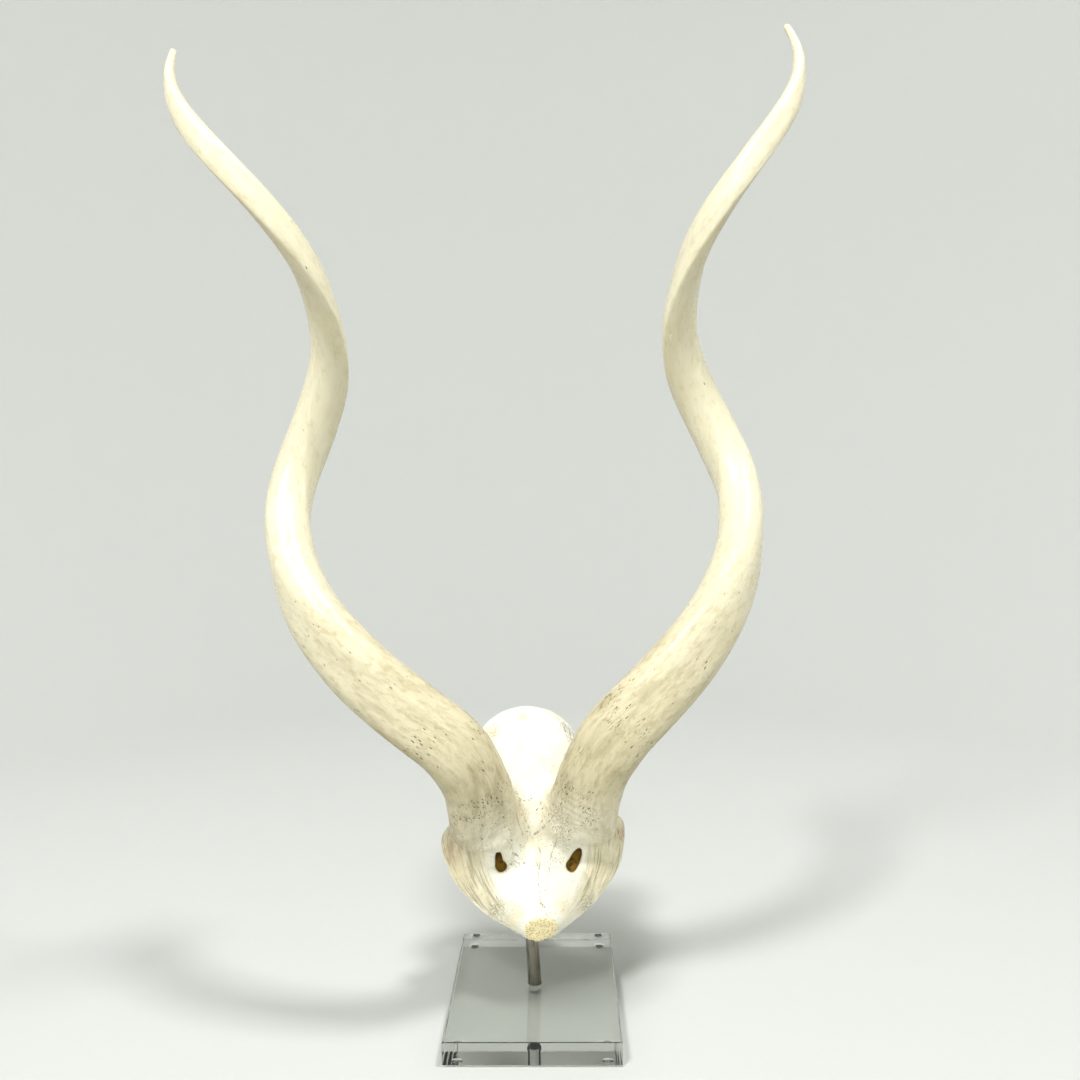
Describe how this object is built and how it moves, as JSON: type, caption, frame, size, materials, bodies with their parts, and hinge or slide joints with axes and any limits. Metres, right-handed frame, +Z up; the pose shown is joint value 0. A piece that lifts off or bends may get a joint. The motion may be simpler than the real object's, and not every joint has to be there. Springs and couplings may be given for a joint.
{
  "type": "antelope skull cap with spiral horn cores on a display stand",
  "caption": "Kudu skull cap with a pair of bare spiral horn cores, held upright by a steel post in a clear acrylic base.",
  "frame": {"origin": "centre of the acrylic block's flat underside", "axes": "+Z up, -Y towards the side that the face looks to, +X to the right as seen from the front"},
  "size_m": [0.5756, 0.2153, 0.9082],
  "materials": {
    "bone": "bleached bone: matt with pores, sutures and grooves on the skull, and polished to an ivory sheen with lengthwise grain on the horn cores",
    "post_steel": "dull drawn steel rod with lengthwise brush lines",
    "clear_acrylic": "cast acrylic, clear, with polished edges",
    "clear_rubber": "clear soft bumper, smooth"
  },
  "bodies": {
    "root": {"skull_cap": "bone", "left_horn_core": "bone", "right_horn_core": "bone", "post": "post_steel", "base_block": "clear_acrylic", "foot_front_left": "clear_rubber", "foot_front_right": "clear_rubber", "foot_back_left": "clear_rubber", "foot_back_right": "clear_rubber"}
  },
  "joints": []
}
